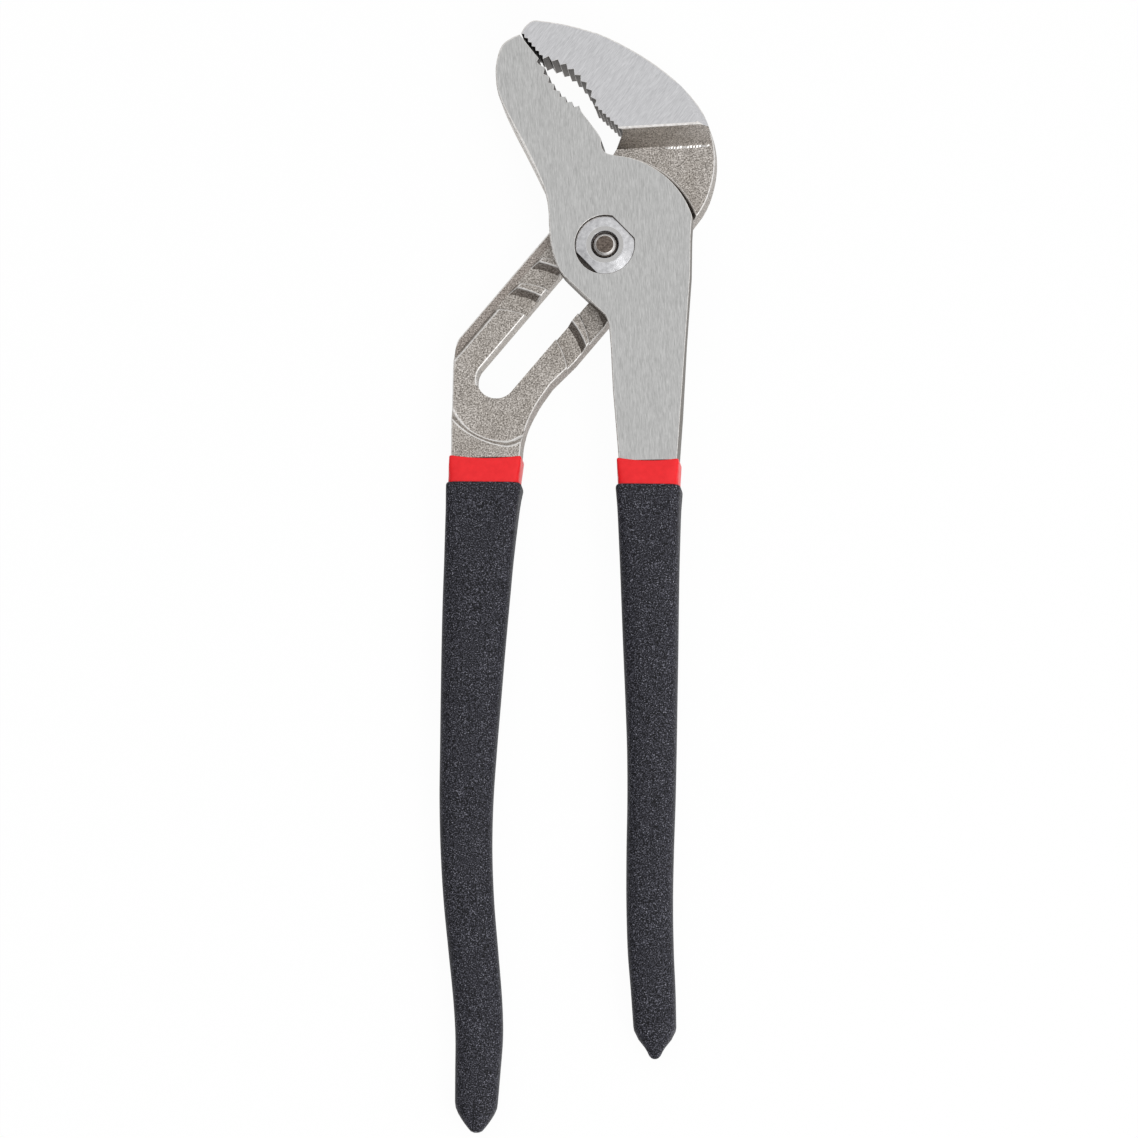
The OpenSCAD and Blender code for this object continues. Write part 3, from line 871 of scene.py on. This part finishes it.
# Table, light and camera: a table top of white laminate, a soft room with a lamp at the lower right, and a
# camera that looks down on the tool from a little below it and to its right.
# Matt laminate: plain white to the eye and in the steel, and it keeps a faint shadow of the tool.
bpy.ops.mesh.primitive_plane_add(size=6, location=(0, 0, -0.5 * MM))
table = bpy.context.object
table.name = "table"
SHOWN_WHITE = 0.96
laminate, tree, _ = new_material("matt_white_laminate")
seen = add(tree, "ShaderNodeLightPath")
white = add(tree, "ShaderNodeEmission", {"Color": (1, 1, 1, 1), "Strength": 1.0})
lit = add(tree, "ShaderNodeBsdfDiffuse", {"Color": linear("#F4F4F4")})
direct = add(
    tree,
    "ShaderNodeMath",
    {0: (seen, "Is Camera Ray"), 1: (seen, "Is Glossy Ray")},
    operation="MAXIMUM",
)
clear = add(
    tree,
    "ShaderNodeMath",
    {0: (direct, 0), 1: (seen, "Is Transmission Ray")},
    operation="MAXIMUM",
)
share = add(tree, "ShaderNodeMath", {0: (clear, 0), 1: SHOWN_WHITE}, operation="MULTIPLY")
both = add(tree, "ShaderNodeMixShader", {0: (share, 0), 1: (lit, 0), 2: (white, 0)})
add(tree, "ShaderNodeOutputMaterial", {"Surface": (both, 0)})
table.data.materials.append(laminate)

# the room is brightest overhead on the right, and dark low on the left below the tool
BRIGHT_SIDE = Vector((0.45, 0.1, 0.89)).normalized()
DARK_SIDE = Vector((-0.8, -0.55, 0.1)).normalized()
world = bpy.data.worlds.new("studio")
scene.world = world
world.use_nodes = True
tree = world.node_tree
tree.nodes.clear()
way = add(tree, "ShaderNodeTexCoord")
facing = add(
    tree,
    "ShaderNodeVectorMath",
    {0: (way, "Generated"), 1: BRIGHT_SIDE},
    operation="DOT_PRODUCT",
)
fall = add(
    tree,
    "ShaderNodeMapRange",
    {"Value": (facing, "Value"), "From Min": -0.6, "From Max": 0.8, "To Min": 0.42, "To Max": 1.05},
)
averted = add(
    tree,
    "ShaderNodeVectorMath",
    {0: (way, "Generated"), 1: DARK_SIDE},
    operation="DOT_PRODUCT",
)
shade = add(
    tree,
    "ShaderNodeMapRange",
    {"Value": (averted, "Value"), "From Min": 0.35, "From Max": 0.9, "To Min": 1.0, "To Max": 0.25},
)
level = add(tree, "ShaderNodeMath", {0: (fall, "Result"), 1: (shade, "Result")}, operation="MULTIPLY")
glow = add(tree, "ShaderNodeBackground", {"Color": (1, 1, 1, 1), "Strength": (level, 0)})
add(tree, "ShaderNodeOutputWorld", {"Surface": (glow, 0)})

# each lamp's place and size in metres, and its power in watts
LIT = Vector((0, -0.08, 0))
LAMPS = [
    ("key", Vector((0.55, -0.7, 0.85)), 0.4, 3.5),
    ("top", Vector((0.3, -0.15, 1.2)), 0.15, 0.2),
]
for name, place, size, power in LAMPS:
    lamp = bpy.data.lights.new(name, "AREA")
    lamp.size = size
    lamp.energy = power
    holder = bpy.data.objects.new(name, lamp)
    scene.collection.objects.link(holder)
    holder.location = place
    holder.rotation_euler = (LIT - place).to_track_quat("-Z", "Y").to_euler()

# a long lens from far off, so that the view is nearly without perspective
AIM = Vector((-9.56, -88.25, FRONT_FACE)) * MM
TOWARDS = Vector((0.0836, -0.213, 1)).normalized()
FAR = 8.0
VIEW_WIDTH = 302.46 * MM
SENSOR = 36
camera_data = bpy.data.cameras.new("camera")
camera_data.sensor_width = SENSOR
camera_data.lens = SENSOR * FAR / VIEW_WIDTH
camera_data.clip_start = 1
camera_data.clip_end = 20
camera = bpy.data.objects.new("camera", camera_data)
scene.collection.objects.link(camera)
up = (Vector((0, 1, 0)) - TOWARDS * TOWARDS.y).normalized()
turn = Matrix((up.cross(TOWARDS), up, TOWARDS)).transposed().to_4x4()
camera.matrix_world = Matrix.Translation(AIM + TOWARDS * FAR) @ turn
scene.camera = camera
scene.view_settings.view_transform = "Standard"
